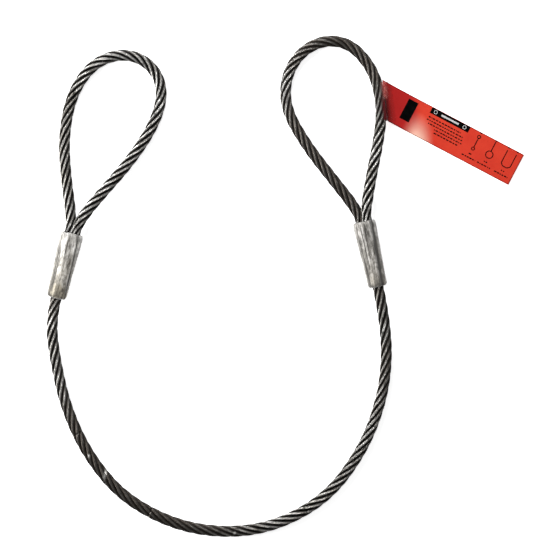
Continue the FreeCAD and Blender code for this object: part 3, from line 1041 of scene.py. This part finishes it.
def thicken(piece, thickness):
    """Gives a sheet its thickness, on the side away from its normals."""
    made = piece.modifiers.new("thickness", "SOLIDIFY")
    made.thickness = thickness
    made.offset = -1


def finish_tag_piece(piece, node=None):
    if node:
        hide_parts(node)
    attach(piece, "tag")


PRINT_LIFT = 0.03 * MM
PRINT_STEP = 1.5 * MM
DASH_LENGTHS = (0.7 * MM, 2.6 * MM)
DASH_GAPS = (0.5 * MM, 0.9 * MM)


class Print:
    """Flat printed marks that follow the tag's face, gathered in one mesh."""

    def __init__(self, layer=1):
        self.lift = layer * PRINT_LIFT
        self.vertices = []
        self.faces = []

    def stroke(self, start, end, width):
        """A straight bar from start to end, each (along, across) on the tag."""
        start, end = Vector(start), Vector(end)
        steps = max(1, round((end - start).length / PRINT_STEP))
        half = (end - start).orthogonal().normalized() * width / 2
        cells = max(1, round(width / PRINT_STEP))
        first = len(self.vertices)
        for step in range(steps + 1):
            middle = start.lerp(end, step / steps)
            for cell in range(cells + 1):
                self.vertices.append(on_tag(*(middle - half + half * 2 * cell / cells), self.lift))
        for face in grid_faces(steps + 1, cells + 1):
            self.faces.append([first + corner for corner in face])

    def polyline(self, points, width):
        """Bars from each point to the next."""
        for start, end in zip(points, points[1:]):
            self.stroke(start, end, width)

    def ring(self, middle, radius, width, corners=16):
        """Bars all round a circle."""
        points = []
        for corner in range(corners + 1):
            turn = 2 * math.pi * corner / corners
            points.append((middle[0] + radius * math.cos(turn), middle[1] + radius * math.sin(turn)))
        self.polyline(points, width)

    def broken_line(self, start, end, across, height, seed):
        """Dashes of uneven length, which stand for a line of words and spell nothing."""
        lengths = np.random.default_rng(seed)
        along = start
        while along < end:
            dash = lengths.uniform(*DASH_LENGTHS)
            self.stroke((along, across), (min(along + dash, end), across), height)
            along += dash + lengths.uniform(*DASH_GAPS)

    def piece(self, name, material):
        """Makes the marks one piece of print on the tag."""
        made = new_piece(name, self.vertices, self.faces, material, smooth=False)
        finish_tag_piece(made)


# the print's places, (along, across) on the tag, and the bars' widths
PATCH = ((26.1 * MM, 3.2 * MM), (26.1 * MM, 21.1 * MM), 8.8 * MM)
BAR_ACROSS = 2.9 * MM
BAR = ((42.2 * MM, BAR_ACROSS), (78 * MM, BAR_ACROSS), 5.3 * MM)
STRIPE = ((52 * MM, BAR_ACROSS), (68 * MM, BAR_ACROSS), 1.5 * MM)
SIGNS_ALONG = (46.5 * MM, 73.5 * MM)
SIGN_RADIUS = 1.4 * MM
SIGN_WIDTH = 0.45 * MM

# rows that stand for words: (start, end, across) in mm
TEXT_ROWS = ((43, 73, 8.6), (42.5, 76, 11.2), (45, 77, 13.8), (52, 78, 16.4), (53, 75, 19.0))
TEXT_HEIGHT = 1.05 * MM

# the line diagrams of a straight, a choker and a basket hitch, and the two captions under each:
# (across, half length, first seed)
LINE_WIDTH = 0.8 * MM
STRAIGHT_ALONG = 88 * MM
CHOKER_ALONG = 102.3 * MM
BASKET_ALONG = 118.3 * MM
HITCH_TOP = 3 * MM
HITCH_LOW = 16.5 * MM
HITCH_EYE = 1.3 * MM
CHOKER_TOP = 1.5 * MM
CHOKER_RADIUS = 3.1 * MM
BASKET_HALF = 4.15 * MM
HOOK_ACROSS = 0.6 * MM
HOOK_HALF = 1 * MM
HOOK_HEIGHT = 0.9 * MM
CAPTIONS = ((20.2 * MM, 1.5 * MM, 10), (23.4 * MM, 6.3 * MM, 15))
BORDER_MARGIN = 0.4 * MM
BORDER_WIDTH = 0.25 * MM


def panels_and_bars():
    """The solid black rectangle and the black bar at the tag's top edge."""
    marks = Print()
    marks.stroke(*PATCH)
    marks.stroke(*BAR)
    marks.piece("tag_black_print", materials["black_ink"])


def bar_signs():
    """On the black bar, a plain stripe between two small rings."""
    marks = Print(layer=2)
    marks.stroke(*STRIPE)
    for along in SIGNS_ALONG:
        marks.ring((along, BAR_ACROSS), SIGN_RADIUS, SIGN_WIDTH)
    marks.piece("tag_white_print", materials["white_ink"])


def text_rows(marks):
    for seed, (start, end, across) in enumerate(TEXT_ROWS):
        marks.broken_line(start * MM, end * MM, across * MM, TEXT_HEIGHT, seed)


def straight_hitch(marks):
    marks.ring((STRAIGHT_ALONG, HITCH_TOP + HITCH_EYE), HITCH_EYE, LINE_WIDTH)
    line_top = (STRAIGHT_ALONG, HITCH_TOP + 2 * HITCH_EYE)
    line_low = (STRAIGHT_ALONG, HITCH_LOW - 2 * HITCH_EYE)
    marks.stroke(line_top, line_low, LINE_WIDTH)
    marks.ring((STRAIGHT_ALONG, HITCH_LOW - HITCH_EYE), HITCH_EYE, LINE_WIDTH)


def choker_hitch(marks):
    line_low = (CHOKER_ALONG, HITCH_LOW - 2 * CHOKER_RADIUS)
    marks.stroke((CHOKER_ALONG, CHOKER_TOP), line_low, LINE_WIDTH)
    marks.ring((CHOKER_ALONG, HITCH_LOW - CHOKER_RADIUS), CHOKER_RADIUS, LINE_WIDTH)


def basket_hitch(marks):
    left, right = BASKET_ALONG - BASKET_HALF, BASKET_ALONG + BASKET_HALF
    corner = BASKET_HALF / 2
    marks.polyline(
        [
            (left, HITCH_TOP),
            (left, HITCH_LOW - corner),
            (left + corner, HITCH_LOW),
            (right - corner, HITCH_LOW),
            (right, HITCH_LOW - corner),
            (right, HITCH_TOP),
        ],
        LINE_WIDTH,
    )


def hooks_and_captions(marks):
    """A short bar over each line of a hitch, and two broken lines of captions under each hitch."""
    for along in (STRAIGHT_ALONG, CHOKER_ALONG, BASKET_ALONG - BASKET_HALF, BASKET_ALONG + BASKET_HALF):
        marks.stroke((along - HOOK_HALF, HOOK_ACROSS), (along + HOOK_HALF, HOOK_ACROSS), HOOK_HEIGHT)
    for number, along in enumerate((STRAIGHT_ALONG, CHOKER_ALONG, BASKET_ALONG)):
        for across, half, first_seed in CAPTIONS:
            marks.broken_line(along - half, along + half, across, TEXT_HEIGHT, first_seed + number)


def border(marks):
    """A thin line along each of the tag's long sides."""
    for across in (BORDER_MARGIN, TAG_WIDTH - BORDER_MARGIN):
        start = (near_end(across) + BORDER_MARGIN, across)
        marks.stroke(start, (TAG_LENGTH - BORDER_MARGIN, across), BORDER_WIDTH)


def line_print():
    """Thin lines: rows that stand for words, and the three usual ways to rig a sling."""
    marks = Print()
    text_rows(marks)
    straight_hitch(marks)
    choker_hitch(marks)
    basket_hitch(marks)
    hooks_and_captions(marks)
    border(marks)
    marks.piece("tag_line_print", materials["black_ink"])


def film_section():
    """(away, height) of the film: from its lap on the strip, round the rope, to its lap under the strip."""
    tip = -tag_fall(TAG_START) + TAG_THICKNESS + 2 * FILM_THICKNESS
    low_tip = -tag_fall(TAG_START) - FILM_THICKNESS
    lap = TAG_START + FILM_LAP
    radius = LOOP_RADIUS + FILM_THICKNESS
    shoulder = math.atan2(tip, TAG_START) + FILM_OPEN
    taut_end = (radius * math.cos(shoulder), radius * math.sin(shoulder))
    taut = np.linspace((TAG_START, tip), taut_end, TAUT_POINTS)
    section = [(lap, -tag_fall(lap) + TAG_THICKNESS + FILM_THICKNESS)]
    section.extend(tuple(point) for point in taut[:-1])
    for turn in range(TURN_POINTS + 1):
        angle = shoulder + 2 * (math.pi - FILM_OPEN) * turn / TURN_POINTS
        section.append((radius * math.cos(angle), radius * math.sin(angle)))
    section.append((TAG_START, low_tip))
    section.append((lap, -tag_fall(lap) - FILM_THICKNESS))
    return section


def clear_tail():
    """The clear end of the tag, round the rope and back on the strip."""
    drift = tag_along.dot(rope_along) / tag_along.dot(rope_away)
    section = film_section()
    vertices, haze_and_glare, shade_smear = [], [], []
    for step in range(FILM_STEPS + 1):
        down = LOOP_TOP - LOOP_LENGTH * step / FILM_STEPS
        for away, height in section:
            ripple = RIPPLE_HEIGHT * noise.noise(Vector((away, height, down)) / RIPPLE_SIZE)
            slid = down + drift * max(0, away - TAG_START)
            across_rope = rope_away * (away + ripple) + UP * (height + ripple)
            vertices.append(loop_middle + across_rope + rope_along * slid)
            upper = clamped((slid - HAZE_END) / HAZE_FADE)
            haze_and_glare.append(upper * bell(away - HAZE_AWAY, HAZE_REACH))
            shade_smear.append((1 - upper) * bell(away - SHADE_SMEAR_AWAY, SHADE_SMEAR_REACH))
    faces = grid_faces(FILM_STEPS + 1, len(section))
    piece = new_piece("tag_film_tail", vertices, faces, materials["film"])
    give_points(piece, "haze_and_glare", haze_and_glare)
    give_points(piece, "shade_smear", shade_smear)
    thicken(piece, FILM_THICKNESS)
    finish_tag_piece(piece, "tag_clear_tail")


# ---------------------------------------------------------------- the whole sling

materials = {
    "rope": rope_material(),
    "core": core_material(),
    "pressed_wire": pressed_wire_material(),
    "sleeve": sleeve_material(),
    "tag": tag_material(),
    "black_ink": ink_material("black_ink", dark=0.001, light=0.003, grain=200),
    "white_ink": ink_material("white_ink", dark=0.4, light=0.55, grain=300),
    "film": film_material(),
}

camera()
studio()
floor()
body_rope()
for side in ("left", "right"):
    eye_rope(side)
    sleeve(side)
    splice_inside(side)
tag_panel()
panels_and_bars()
bar_signs()
line_print()
clear_tail()
